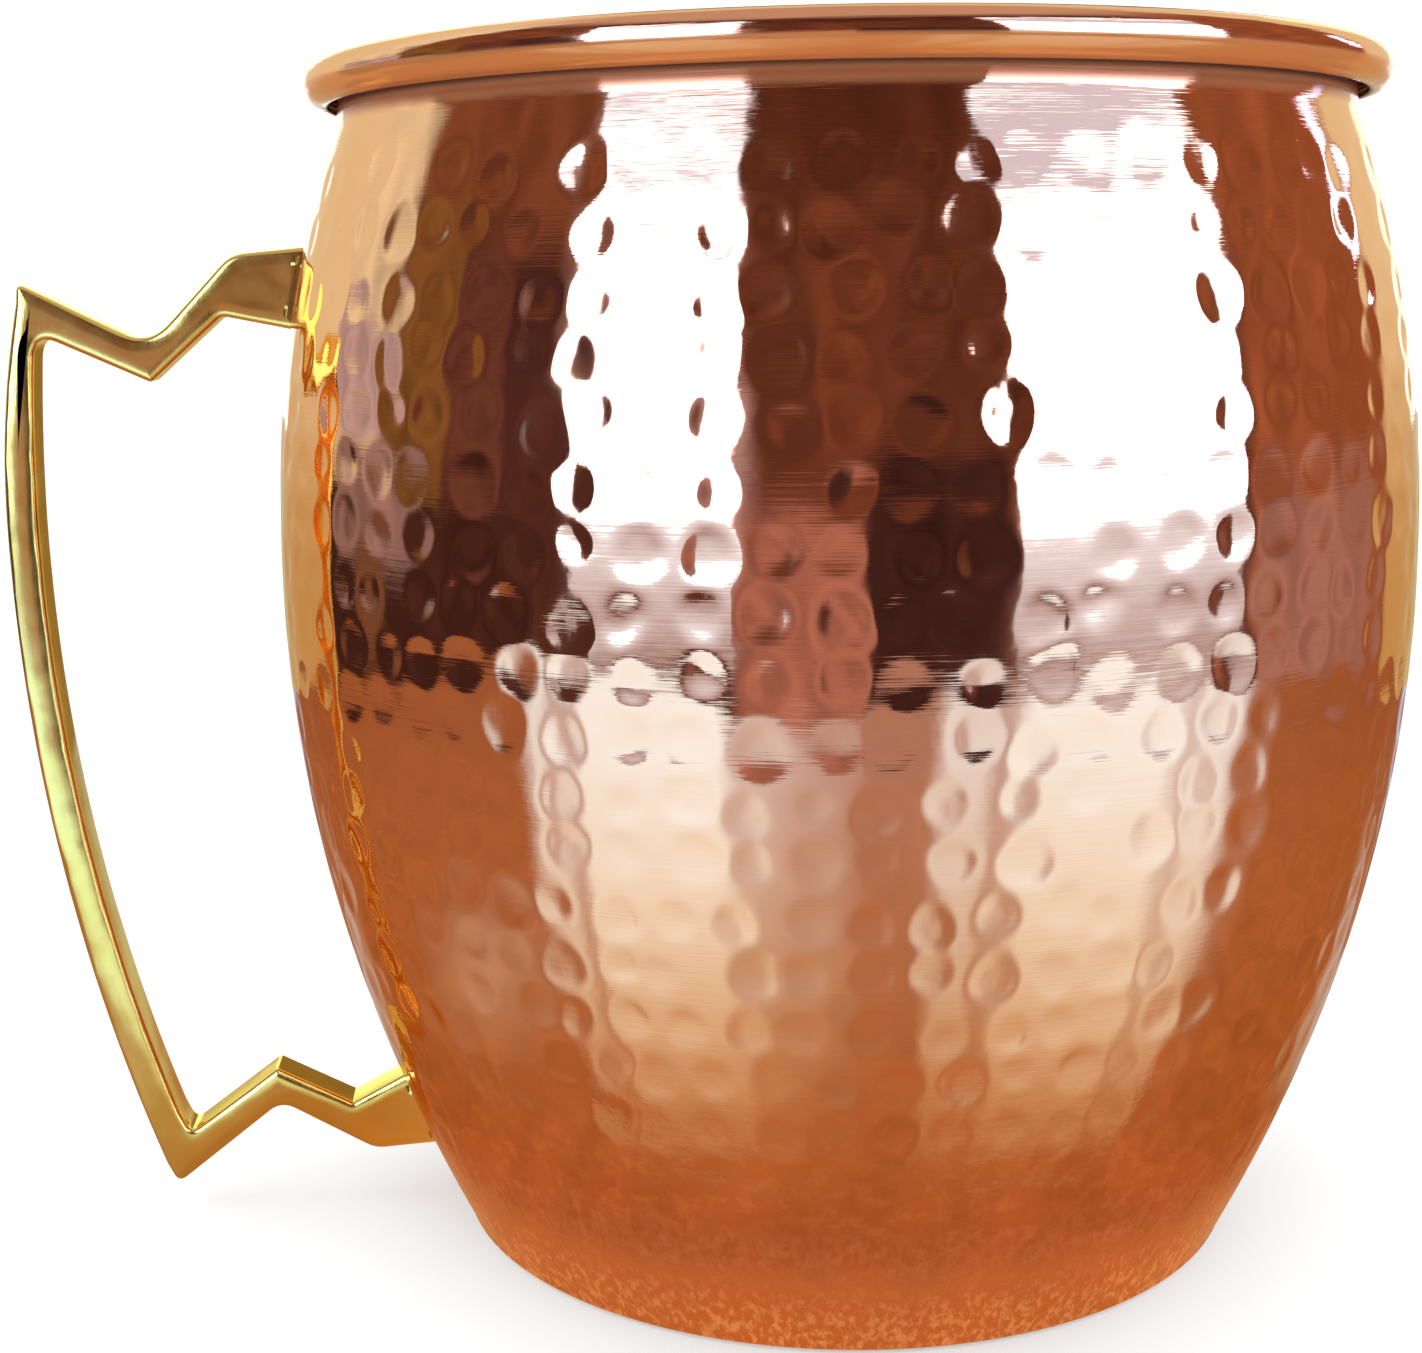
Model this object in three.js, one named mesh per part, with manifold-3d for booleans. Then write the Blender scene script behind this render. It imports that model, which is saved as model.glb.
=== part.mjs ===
// A large copper mug: one spun copper body with a rolled rim, and a cast brass
// zigzag handle that two rivets hold from inside the wall.
//
// Millimetres, +Z up. The origin is the centre of the flat base's underside,
// and the handle points towards -X.

import * as THREE from "three";
import { mergeVertices } from "three/addons/utils/BufferGeometryUtils.js";
import Module from "manifold-3d";

const wasm = await Module();
wasm.setup();

// ---- Driving dimensions -----------------------------------------------------

// Copper sheet and the body's outer face
const SHEET = 1.2; // thickness of the copper everywhere
const BASE_R = 69.9; // flat base, to its corner
const BASE_CORNER_R = 0.8; // bend between base and wall
const WIDEST_R = 98.8;
const WIDEST_Z = 117;
const NECK_R = 85.3; // what the upper curve narrows to at NECK_Z
const NECK_Z = 196.1;
const LOWER_POWER = 2; // how the wall falls away below its widest
const UPPER_POWER = 2.3; // and above it
const WALL_TOP_Z = 194; // where the wall turns up into the rim

// Rolled rim: the sheet turns out and down, and its edge stays open
const RIM_R = 88.4; // to the middle of the roll
const RIM_Z = 199.5;
const ROLL_R = 3.5; // outside of the roll
const ROLL_START_DEG = 165; // angles about the middle of the roll
const ROLL_END_DEG = -112;
const NECK_LEAD_IN = 2; // how far the neck keeps the wall's slope
const NECK_LEAD_OUT = 2.4; // and how early it takes up the roll's

// Handle casting: the long bar bows outwards, more tightly above its furthest
// point on the outer edge only
const BAR_WIDTH = 5.4; // seen square on to the handle
const BAR_THICKNESS = 8.8; // across the handle's plane
const BAR_REACH = 145.7; // furthest point from the mug's axis
const BAR_REACH_Z = 127;
const BOW_OUTER_TOP_R = 170;
const BOW_OUTER_R = 355;
const BOW_INNER_R = 340;
const HANDLE_EDGE = 1.1; // rounding of the casting's long edges

// Handle outline as [distance from the mug's axis, height, corner rounding]
const UPPER_ARM_TOP = [
  [84, 174.2, 0],
  [105.2, 172.3, 5],
  [119.8, 157.1, 7],
];
const OUTER_TOP_CORNER = [141.2, 168, 0];
const OUTER_TIP = [123.5, 4.7, 1.6];
const LOWER_ARM_BOTTOM = [
  [104.1, 19.7, 4],
  [87.4, 9.8, 6],
  [66, 11.2, 0],
];
const LOWER_ARM_TOP = [
  [72, 29.1, 0],
  [91.1, 19, 0.8],
  [104.6, 26.2, 0],
];
const INNER_BOTTOM_CORNER = [120.7, 14.4, 1.6];
const INNER_TOP_CORNER = [138.5, 159.5, 2.8];
const UPPER_ARM_UNDERSIDE = [
  [119.7, 150.9, 0],
  [107.2, 162, 2.2],
  [84, 157.2, 0],
];

// Fixings through the wall into each foot of the handle
const UPPER_FOOT_Z = 165.6;
const LOWER_FOOT_Z = 17.2;
const SHANK_R = 2.5;
const SHANK_DEPTH = 8.5; // into the foot, from the wall's outer face
const HEAD_R = 5;
const HEAD_HEIGHT = 2.8;
const WASHER_R = 7;
const WASHER_THICKNESS = 1;
const GAP = 0.3; // between pieces that touch
const WASHER_LIFT = 0.65; // a flat washer bridges the hollow of the round wall

// Facets
const ROUND_STEPS = 60;
const WALL_STEPS = 12;
const BEND_STEPS = 3;
const ROLL_STEPS = 10;
const SMALL_ROUND_STEPS = 24;

// ---- Materials --------------------------------------------------------------

const copper = new THREE.MeshStandardMaterial({ color: 0xc0704a, roughness: 0.22, metalness: 1 });
const brass = new THREE.MeshStandardMaterial({ color: 0xcda349, roughness: 0.2, metalness: 1 });
const brassFixing = new THREE.MeshStandardMaterial({ color: 0xc29a4c, roughness: 0.3, metalness: 1 });

// ---- Helpers ----------------------------------------------------------------

const degrees = THREE.MathUtils.degToRad;

// Turns a closed profile of (radius, height) about the Z axis
function turned(profile, steps) {
  return new THREE.LatheGeometry(profile, steps).rotateX(Math.PI / 2);
}

function toSolid(geometry) {
  const bare = geometry.clone();
  bare.deleteAttribute("normal");
  bare.deleteAttribute("uv");
  const merged = mergeVertices(bare, 1e-4);
  // Facets that close up on the axis have two equal corners and are dropped
  const triVerts = [];
  for (let i = 0; i < merged.index.count; i += 3) {
    const [a, b, c] = [0, 1, 2].map((k) => merged.index.getX(i + k));
    if (a !== b && b !== c && c !== a) triVerts.push(a, b, c);
  }
  return new wasm.Manifold(
    new wasm.Mesh({
      numProp: 3,
      vertProperties: new Float32Array(merged.attributes.position.array),
      triVerts: new Uint32Array(triVerts),
    })
  );
}

function toGeometry(solid) {
  const mesh = solid.getMesh();
  const geometry = new THREE.BufferGeometry();
  geometry.setAttribute("position", new THREE.BufferAttribute(mesh.vertProperties, 3));
  geometry.setIndex(new THREE.BufferAttribute(mesh.triVerts, 1));
  geometry.computeVertexNormals();
  return geometry;
}

function named(name, geometry, material) {
  const mesh = new THREE.Mesh(geometry, material);
  mesh.name = name;
  return mesh;
}

// ---- The wall's shape -------------------------------------------------------

// Radius of the body's outer face at a height
function wallRadius(z) {
  if (z < WIDEST_Z) {
    return WIDEST_R - (WIDEST_R - BASE_R) * ((WIDEST_Z - z) / WIDEST_Z) ** LOWER_POWER;
  }
  const rise = (z - WIDEST_Z) / (NECK_Z - WIDEST_Z);
  return WIDEST_R - (WIDEST_R - NECK_R) * rise ** UPPER_POWER;
}

// Unit vector square to the outer face, as (radial, up)
function wallNormal(z) {
  const slope = wallRadius(z + 0.5) - wallRadius(z - 0.5);
  return new THREE.Vector2(1, -slope).normalize();
}

// A point at a depth below the outer face (negative stands clear of it)
function wallPoint(z, depth) {
  return new THREE.Vector2(wallRadius(z), z).addScaledVector(wallNormal(z), -depth);
}

// ---- Body: floor, wall, neck and roll of one sheet --------------------------

function sheetMiddle() {
  const half = SHEET / 2;
  const wallStartZ = half + BASE_CORNER_R;
  const bend = new THREE.QuadraticBezierCurve(
    new THREE.Vector2(BASE_R - half - BASE_CORNER_R, half),
    new THREE.Vector2(wallPoint(half, half).x, half),
    wallPoint(wallStartZ, half)
  );

  const wall = [];
  for (let i = 0; i <= WALL_STEPS; i++) {
    wall.push(wallPoint(THREE.MathUtils.lerp(wallStartZ, WALL_TOP_Z, i / WALL_STEPS), half));
  }

  const rollMiddle = ROLL_R - half;
  const rollPoint = (a) =>
    new THREE.Vector2(RIM_R + rollMiddle * Math.cos(a), RIM_Z + rollMiddle * Math.sin(a));
  const start = degrees(ROLL_START_DEG);
  const wallTop = wall.at(-1);
  const up = wallNormal(WALL_TOP_Z).rotateAround(new THREE.Vector2(), Math.PI / 2);
  const rollStart = rollPoint(start);
  const intoRoll = new THREE.Vector2(Math.sin(start), -Math.cos(start));
  const neck = new THREE.CubicBezierCurve(
    wallTop,
    wallTop.clone().addScaledVector(up, NECK_LEAD_IN),
    rollStart.clone().addScaledVector(intoRoll, -NECK_LEAD_OUT),
    rollStart
  );
  const roll = [];
  for (let i = 1; i <= ROLL_STEPS; i++) {
    roll.push(rollPoint(THREE.MathUtils.lerp(start, degrees(ROLL_END_DEG), i / ROLL_STEPS)));
  }

  return [
    new THREE.Vector2(0, half),
    ...bend.getPoints(BEND_STEPS),
    ...wall.slice(1),
    ...neck.getPoints(BEND_STEPS).slice(1),
    ...roll,
  ];
}

// Thickens a line of points to both sides and closes it on the axis
function thickened(middle, thickness) {
  const side = (sign) =>
    middle.map((point, i) => {
      const before = middle[Math.max(i - 1, 0)];
      const after = middle[Math.min(i + 1, middle.length - 1)];
      const direction = after.clone().sub(before).normalize();
      const square = new THREE.Vector2(direction.y, -direction.x);
      const shifted = point.clone().addScaledVector(square, (sign * thickness) / 2);
      if (i === 0) shifted.x = 0;
      return shifted;
    });
  return [...side(1), ...side(-1).reverse()];
}

function bodyShell() {
  const sheet = toSolid(turned(thickened(sheetMiddle(), SHEET), ROUND_STEPS));
  return sheet.subtract(fixingBore(UPPER_FOOT_Z)).subtract(fixingBore(LOWER_FOOT_Z));
}

// Everything inside the wall's outer face, grown by a gap, to trim the handle's feet
function bodyEnvelope() {
  const profile = [new THREE.Vector2(0, 0)];
  for (let i = 0; i <= WALL_STEPS; i++) {
    profile.push(wallPoint(THREE.MathUtils.lerp(0, NECK_Z, i / WALL_STEPS), -GAP));
  }
  profile.push(new THREE.Vector2(0, NECK_Z));
  return toSolid(turned(profile, ROUND_STEPS));
}

// ---- Handle -----------------------------------------------------------------

// Points between two corners along an arc that stands upright at BAR_REACH_Z
function bow(from, to, reach, arcR, steps) {
  const points = [];
  for (let i = 1; i < steps; i++) {
    const z = THREE.MathUtils.lerp(from[1], to[1], i / steps);
    const radius = reach - arcR + Math.sqrt(arcR ** 2 - (z - BAR_REACH_Z) ** 2);
    points.push([radius, z, 0]);
  }
  return points;
}

// A closed outline whose corners are rounded where the third number says so
function roundedOutline(corners) {
  const shape = new THREE.Shape();
  corners.forEach(([x, y, rounding], i) => {
    const here = new THREE.Vector2(x, y);
    const before = new THREE.Vector2(...corners.at(i - 1).slice(0, 2));
    const after = new THREE.Vector2(...corners[(i + 1) % corners.length].slice(0, 2));
    const toBefore = before.sub(here);
    const toAfter = after.sub(here);
    const halfAngle = Math.acos(toBefore.dot(toAfter) / (toBefore.length() * toAfter.length())) / 2;
    const setback = rounding / Math.tan(halfAngle);
    const start = here.clone().addScaledVector(toBefore.normalize(), setback);
    const end = here.clone().addScaledVector(toAfter.normalize(), setback);
    if (i === 0) shape.moveTo(start.x, start.y);
    else shape.lineTo(start.x, start.y);
    if (rounding > 0) shape.quadraticCurveTo(x, y, end.x, end.y);
  });
  shape.closePath();
  return shape;
}

function handleOutline() {
  const furthest = [BAR_REACH, BAR_REACH_Z, 0];
  const innerReach = BAR_REACH - BAR_WIDTH;
  return roundedOutline([
    ...UPPER_ARM_TOP,
    OUTER_TOP_CORNER,
    ...bow(OUTER_TOP_CORNER, furthest, BAR_REACH, BOW_OUTER_TOP_R, 4),
    furthest,
    ...bow(furthest, OUTER_TIP, BAR_REACH, BOW_OUTER_R, 8),
    OUTER_TIP,
    ...LOWER_ARM_BOTTOM,
    ...LOWER_ARM_TOP,
    INNER_BOTTOM_CORNER,
    ...bow(INNER_BOTTOM_CORNER, INNER_TOP_CORNER, innerReach, BOW_INNER_R, 10),
    INNER_TOP_CORNER,
    ...UPPER_ARM_UNDERSIDE,
  ]);
}

function handle() {
  const casting = new THREE.ExtrudeGeometry(handleOutline(), {
    depth: BAR_THICKNESS - 2 * HANDLE_EDGE,
    curveSegments: 3,
    bevelEnabled: true,
    bevelThickness: HANDLE_EDGE,
    bevelSize: HANDLE_EDGE,
    bevelOffset: -HANDLE_EDGE,
    bevelSegments: 2,
  });
  // The outline is drawn in X and Y: stand it up, centre it and face it to -X
  casting.translate(0, 0, HANDLE_EDGE - BAR_THICKNESS / 2);
  casting.rotateX(Math.PI / 2);
  casting.rotateZ(Math.PI);
  return toSolid(casting)
    .subtract(bodyEnvelope())
    .subtract(fixingBore(UPPER_FOOT_Z))
    .subtract(fixingBore(LOWER_FOOT_Z));
}

// ---- Fixings ----------------------------------------------------------------

// Places a shape that is drawn about +Z so that +Z points out through the wall
// at a foot, with z = 0 on the wall's outer face
function placedAtFoot(object, z) {
  const normal = wallNormal(z);
  const outward = new THREE.Vector3(-normal.x, 0, normal.y);
  object.quaternion.setFromUnitVectors(new THREE.Vector3(0, 0, 1), outward);
  object.position.set(-wallRadius(z), 0, z);
  object.updateMatrix();
  return object;
}

function fixingBore(z) {
  const radius = SHANK_R + GAP;
  const inside = SHEET * 3;
  const outside = SHANK_DEPTH + GAP;
  const bore = new THREE.CylinderGeometry(radius, radius, inside + outside, SMALL_ROUND_STEPS);
  bore.rotateX(Math.PI / 2).translate(0, 0, (outside - inside) / 2);
  const place = placedAtFoot(new THREE.Object3D(), z);
  return toSolid(bore.applyMatrix4(place.matrix));
}

const WASHER_OUTER_FACE = -SHEET - WASHER_LIFT;
const HEAD_SEAT = WASHER_OUTER_FACE - WASHER_THICKNESS - GAP;

function washer(name, z) {
  const bore = SHANK_R + GAP;
  const profile = [
    new THREE.Vector2(bore, WASHER_OUTER_FACE - WASHER_THICKNESS),
    new THREE.Vector2(WASHER_R, WASHER_OUTER_FACE - WASHER_THICKNESS),
    new THREE.Vector2(WASHER_R, WASHER_OUTER_FACE),
    new THREE.Vector2(bore, WASHER_OUTER_FACE),
    new THREE.Vector2(bore, WASHER_OUTER_FACE - WASHER_THICKNESS),
  ];
  return placedAtFoot(named(name, turned(profile, SMALL_ROUND_STEPS), brassFixing), z);
}

function rivet(name, z) {
  const dome = new THREE.QuadraticBezierCurve(
    new THREE.Vector2(0, HEAD_SEAT - HEAD_HEIGHT),
    new THREE.Vector2(HEAD_R, HEAD_SEAT - HEAD_HEIGHT),
    new THREE.Vector2(HEAD_R, HEAD_SEAT)
  );
  const profile = [
    ...dome.getPoints(6),
    new THREE.Vector2(SHANK_R, HEAD_SEAT),
    new THREE.Vector2(SHANK_R, SHANK_DEPTH),
    new THREE.Vector2(0, SHANK_DEPTH),
  ];
  return placedAtFoot(named(name, turned(profile, SMALL_ROUND_STEPS), brassFixing), z);
}

// ---- Assembly ---------------------------------------------------------------

const mug = new THREE.Group();
mug.add(
  named("body_shell", toGeometry(bodyShell()), copper),
  named("handle", toGeometry(handle()), brass),
  washer("upper_washer", UPPER_FOOT_Z),
  rivet("upper_rivet", UPPER_FOOT_Z),
  washer("lower_washer", LOWER_FOOT_Z),
  rivet("lower_rivet", LOWER_FOOT_Z)
);

export default mug;
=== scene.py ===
"""Looks for the copper mug: a hammered copper body, a cast brass handle and satin brass
fixings, in a plain white studio.

The shapes are worked out in millimetres, as in the part, and MM turns them into metres. The
materials and the studio work in metres.
"""

import math

import bmesh
import bpy
import numpy as np
from mathutils import Matrix, Vector


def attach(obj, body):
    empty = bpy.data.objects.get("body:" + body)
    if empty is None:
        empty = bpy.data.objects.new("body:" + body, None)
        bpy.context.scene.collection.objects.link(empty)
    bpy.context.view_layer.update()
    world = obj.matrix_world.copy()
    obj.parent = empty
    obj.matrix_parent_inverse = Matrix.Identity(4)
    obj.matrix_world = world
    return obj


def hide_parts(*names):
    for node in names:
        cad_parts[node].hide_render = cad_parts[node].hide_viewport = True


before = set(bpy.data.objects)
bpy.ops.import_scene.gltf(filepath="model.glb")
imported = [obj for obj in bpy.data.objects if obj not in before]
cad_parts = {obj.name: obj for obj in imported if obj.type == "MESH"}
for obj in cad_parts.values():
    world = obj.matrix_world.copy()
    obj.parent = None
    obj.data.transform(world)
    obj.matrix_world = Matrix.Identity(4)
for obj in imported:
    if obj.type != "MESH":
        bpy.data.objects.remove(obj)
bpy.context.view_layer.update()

MM = 0.001
rng = np.random.default_rng(41)

# ---- Dimensions, in millimetres ----------------------------------------------
# They are the part's, except that the neck turns upright a little earlier and the roll ends
# sooner: WALL_TOP_Z, ROLL_START, ROLL_END and the two leads. A few corners are rounded too.

SHEET = 1.2
BASE_R = 69.9
BASE_CORNER_R = 0.8
WIDEST_R = 98.8
WIDEST_Z = 117.0
NECK_R = 85.3
NECK_Z = 196.1
UPPER_POWER = 2.3
WALL_TOP_Z = 192.6
RIM_R = 88.4
RIM_Z = 199.5
ROLL_R = 3.5
ROLL_START = math.radians(172)
ROLL_END = math.radians(-102)
NECK_LEAD_IN = 1.0
NECK_LEAD_OUT = 2.8

# Handle casting, as [distance from the mug's axis, height, corner rounding]
BAR_WIDTH = 5.4  # seen square on to the handle
BAR_THICKNESS = 8.8  # across the handle's plane
BAR_REACH = 145.7
BAR_REACH_Z = 127
BOW_OUTER_TOP_R = 170
BOW_OUTER_R = 355
BOW_INNER_R = 340
UPPER_ARM_TOP = [[84, 174.2, 0.2], [105.2, 172.3, 6], [119.8, 157.1, 7]]
OUTER_TOP_CORNER = [141.2, 168, 1.0]
OUTER_TIP = [123.5, 4.7, 1.6]
LOWER_ARM_BOTTOM = [[104.1, 19.7, 4], [87.4, 9.8, 6], [66, 11.2, 0.2]]
LOWER_ARM_TOP = [[72, 29.1, 0.2], [91.1, 19, 0.8], [104.6, 26.2, 0.9]]
INNER_BOTTOM_CORNER = [120.7, 14.4, 1.6]
INNER_TOP_CORNER = [138.5, 159.5, 2.8]
UPPER_ARM_UNDERSIDE = [[119.7, 150.9, 0.9], [107.2, 162, 2.2], [84, 157.2, 0.2]]


def wall_radius(z):
    """The radius of the wall's outer face at a height."""
    z = np.asarray(z, float)
    low = WIDEST_R - (WIDEST_R - BASE_R) * ((WIDEST_Z - z) / WIDEST_Z) ** 2
    rise = np.abs(z - WIDEST_Z) / (NECK_Z - WIDEST_Z)
    return np.where(z < WIDEST_Z, low, WIDEST_R - (WIDEST_R - NECK_R) * rise**UPPER_POWER)


def wall_normal(z):
    """The unit vector square to the outer face, as (radial, up)."""
    slope = wall_radius(z + 0.05) - wall_radius(z - 0.05)
    normal = np.stack([np.full_like(slope, 0.1), -slope], -1)
    return normal / np.linalg.norm(normal, axis=-1, keepdims=True)


# ---- Small helpers ----------------------------------------------------------


def grid_object(name, points, closed_cols, material):
    """A mesh over a rows by columns array of points."""
    rows, cols = points.shape[:2]
    index = np.arange(rows * cols).reshape(rows, cols)
    right = np.roll(index, -1, axis=1)
    if not closed_cols:
        index, right = index[:, :-1], right[:, :-1]
    quads = np.stack([index[:-1], right[:-1], right[1:], index[1:]], -1).reshape(-1, 4)
    mesh = bpy.data.meshes.new(name)
    mesh.vertices.add(rows * cols)
    mesh.vertices.foreach_set("co", points.reshape(-1).astype(np.float32))
    mesh.loops.add(quads.size)
    mesh.loops.foreach_set("vertex_index", quads.reshape(-1).astype(np.int32))
    mesh.polygons.add(len(quads))
    mesh.polygons.foreach_set("loop_start", np.arange(0, quads.size, 4, dtype=np.int32))
    mesh.polygons.foreach_set("use_smooth", np.ones(len(quads), bool))
    mesh.materials.append(material)
    mesh.update(calc_edges=True)
    obj = bpy.data.objects.new(name, mesh)
    bpy.context.scene.collection.objects.link(obj)
    return obj


def closed_grid(name, points, material):
    """A grid object whose first and last rings are each closed by one face."""
    obj = grid_object(name, points, True, material)
    rings, cols = points.shape[:2]
    bm = bmesh.new()
    bm.from_mesh(obj.data)
    bm.verts.ensure_lookup_table()
    for first in (0, (rings - 1) * cols):
        bm.faces.new([bm.verts[first + i] for i in range(cols)]).smooth = True
    bmesh.ops.recalc_face_normals(bm, faces=bm.faces)
    bm.to_mesh(obj.data)
    bm.free()
    return obj


class Nodes:
    """A new material's node tree, with short calls to add and join nodes."""

    def __init__(self, name):
        self.material = bpy.data.materials.new(name)
        self.material.use_nodes = True
        self.tree = self.material.node_tree
        self.tree.nodes.clear()
        self.out = self.tree.nodes.new("ShaderNodeOutputMaterial")

    def add(self, kind, settings=None, **inputs):
        node = self.tree.nodes.new("ShaderNode" + kind)
        for key, value in (settings or {}).items():
            setattr(node, key, value)
        for key, value in inputs.items():
            self.put(node, key.replace("_", " "), value)
        return node

    def put(self, node, socket, value):
        """Join a socket to this input, or set the input to a plain value."""
        target = node.inputs[int(socket) if socket.isdigit() else socket]
        if isinstance(value, bpy.types.NodeSocket):
            self.tree.links.new(value, target)
        else:
            target.default_value = value

    def math(self, op, a, b):
        node = self.add("Math", {"operation": op})
        self.put(node, "0", a)
        self.put(node, "1", b)
        return node.outputs[0]

    def product(self, *values):
        result = values[0]
        for value in values[1:]:
            result = self.math("MULTIPLY", result, value)
        return result

    def mix(self, factor, a, b):
        node = self.add("Mix", {"data_type": "RGBA"})
        self.put(node, "0", factor)
        self.put(node, "6", a)
        self.put(node, "7", b)
        return node.outputs[2]

    def spread(self, value, low, high, to_low=0.0, to_high=1.0):
        """The value eased from to_low at low and below, to to_high at high and above."""
        node = self.add("MapRange", {"interpolation_type": "SMOOTHSTEP"})
        for socket, v in zip("01234", (value, low, high, to_low, to_high)):
            self.put(node, socket, v)
        return node.outputs[0]

    def fall(self, value, low, high):
        return self.spread(value, low, high, 1.0, 0.0)

    def between(self, value, start, full, fade, end):
        """1 from full to fade, easing to 0 at start and at end."""
        return self.product(self.spread(value, start, full), self.fall(value, fade, end))

    def noise(self, where, scale, detail, roughness, stretch=None):
        """Noise over a place in metres; stretch scales each axis."""
        if stretch:
            where = self.add("Mapping", Vector=where, Scale=stretch).outputs[0]
        node = self.add("TexNoise", Vector=where, Scale=scale, Detail=detail, Roughness=roughness)
        return node.outputs[0]

    def bump(self, height, distance, before=None):
        node = self.add("Bump", Height=height, Distance=distance, Strength=1.0)
        if before:
            self.put(node, "Normal", before)
        return node.outputs[0]

    def finish(self, shader):
        self.put(self.out, "Surface", shader.outputs[0])
        return self.material


# ---- Copper -----------------------------------------------------------------

POLISHED = (0.92, 0.43, 0.226, 1)
POLISHED_DARKER = (0.88, 0.405, 0.208, 1)
COPPER_EDGE_ON = (0.95, 0.72, 0.52, 1)
FOOT_DULL = (0.76, 0.315, 0.145, 1)
FOOT_SWIRLS = (0.95, 0.45, 0.235, 1)
FOOT_SKIN = (0.58, 0.130, 0.026, 1)
FOOT_SPECKS = (1.0, 0.43, 0.165, 1)
# Painted shade for the slot under the roll
SLOT_PAINTED_SHADE = (0.20, 0.07, 0.045, 1)
# Painted shade for the neck's top, below the slot
NECK_PAINTED_SHADE = (0.40, 0.13, 0.058, 1)
# Painted reflection: the orange of the table, as the roll's underside mirrors it
ROLL_UNDERSIDE_PAINTED_REFLECTION = (0.72, 0.265, 0.088, 1)

# Where each lies, in metres, by height or by distance from the axis. Four numbers are where
# it starts, is full, begins to fade and ends
BRUSHED_NECK_Z = (0.160, 0.178)
SWIRLS_Z = (0.016, 0.066)
SKIN_Z = (0.008, 0.036)
SPECKS_Z = (0.003, 0.024)
SLOT_Z = (0.1945, 0.1962, 0.1972, 0.1985)
SLOT_R = (0.0852, 0.0856, 0.0882, 0.0893)
NECK_TOP_Z = (0.1925, 0.1950)
NECK_TOP_R = (0.0850, 0.0852, 0.0870, 0.0875)
UNDERSIDE_Z = (0.1955, 0.1958, 0.1987, 0.1994)
UNDERSIDE_R = (0.0880, 0.0890)


def copper_material():
    n = Nodes("hammered_copper")
    where = n.add("TexCoord").outputs["Object"]
    place = n.add("SeparateXYZ", Vector=where).outputs
    height = place[2]
    across = n.add("CombineXYZ", X=place[0], Y=place[1]).outputs[0]
    radius = n.add("VectorMath", {"operation": "LENGTH"}, Vector=across).outputs["Value"]

    # Lathe-brushed lines run round the body, in patches, and are deepest at the neck
    lines = n.noise(where, 1.0, 3.0, 0.6, (26, 26, 1500))
    fine_lines = n.noise(where, 1.0, 2.0, 0.5, (60, 60, 4200))
    brushed = n.math("ADD", lines, n.product(fine_lines, 0.5))
    patches = n.spread(n.noise(where, 34.0, 2.0, 0.5), 0.35, 0.7, 0.35, 1.0)
    brushed = n.product(brushed, patches, n.spread(height, *BRUSHED_NECK_Z, 1.0, 1.7))

    # The foot of the wall is left with a mottled skin, finest right at the bottom
    low = n.fall(height, *SWIRLS_Z)
    near_foot = n.fall(height, *SKIN_Z)
    swirl = n.noise(where, 330.0, 2.0, 0.6)
    mottle = n.noise(where, 820.0, 3.0, 0.65, (1, 1, 0.42))

    surface = n.bump(n.noise(where, 70.0, 1.0, 0.4), 0.00018)
    surface = n.bump(n.noise(where, 240.0, 2.0, 0.5), 0.000022, surface)
    surface = n.bump(brushed, 0.000022, surface)
    surface = n.bump(n.product(swirl, low), 0.00016, surface)
    surface = n.bump(n.product(mottle, near_foot), 0.00007, surface)

    tone = n.spread(n.noise(where, 22.0, 3.0, 0.55), 0.3, 0.75)
    colour = n.mix(tone, POLISHED, POLISHED_DARKER)
    colour = n.mix(n.product(low, 0.8), colour, FOOT_DULL)
    colour = n.mix(n.product(n.spread(swirl, 0.45, 0.70), low), colour, FOOT_SWIRLS)
    colour = n.mix(near_foot, colour, FOOT_SKIN)
    specks = n.product(n.spread(mottle, 0.44, 0.68), n.fall(height, *SPECKS_Z))
    colour = n.mix(specks, colour, FOOT_SPECKS)

    # Painted shade: the slot under the roll is darkened and partly matt, where the roll's shade
    # falls into it
    slot = n.product(n.between(height, *SLOT_Z), n.between(radius, *SLOT_R))
    colour = n.mix(slot, colour, SLOT_PAINTED_SHADE)
    # Painted shade on the neck's top below the slot, where the roll shades it
    neck_top_shade = n.product(n.spread(height, *NECK_TOP_Z), n.between(radius, *NECK_TOP_R))
    shade_below_slot = n.product(neck_top_shade, n.math("SUBTRACT", 1.0, slot))
    colour = n.mix(shade_below_slot, colour, NECK_PAINTED_SHADE)
    # Painted reflection: the roll's underside gets a flat orange, partly matt and evenly lit, in
    # place of the orange table it mirrors
    under = n.product(n.between(height, *UNDERSIDE_Z), n.spread(radius, *UNDERSIDE_R))
    colour = n.mix(under, colour, ROLL_UNDERSIDE_PAINTED_REFLECTION)

    # Where the skin is mottled, and where shade and the underside's reflection are painted, it is
    # partly matt, and shows less of the room
    matt = n.product(n.spread(mottle, 0.40, 0.66, 0.75, 0.25), near_foot, near_foot)
    for painted_mask, share in ((under, 0.62), (slot, 0.6), (neck_top_shade, 0.93)):
        matt = n.math("MAXIMUM", matt, n.product(painted_mask, share))

    rough = n.spread(n.noise(where, 48.0, 3.0, 0.6), 0.3, 0.75, 0.035, 0.075)
    rough = n.math("ADD", rough, n.product(near_foot, 0.12))
    rough = n.math("ADD", rough, n.product(under, 0.08))
    return n.finish(
        n.add(
            "BsdfPrincipled",
            Base_Color=colour,
            Metallic=n.math("SUBTRACT", 1.0, matt),
            Roughness=rough,
            Normal=surface,
            Specular_IOR_Level=0.05,
            Specular_Tint=COPPER_EDGE_ON,
        )
    )


# ---- The body: floor, wall, neck and roll of one sheet -----------------------

COLS = 960
WALL_ROWS = 310
INNER_ROWS = 130

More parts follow.
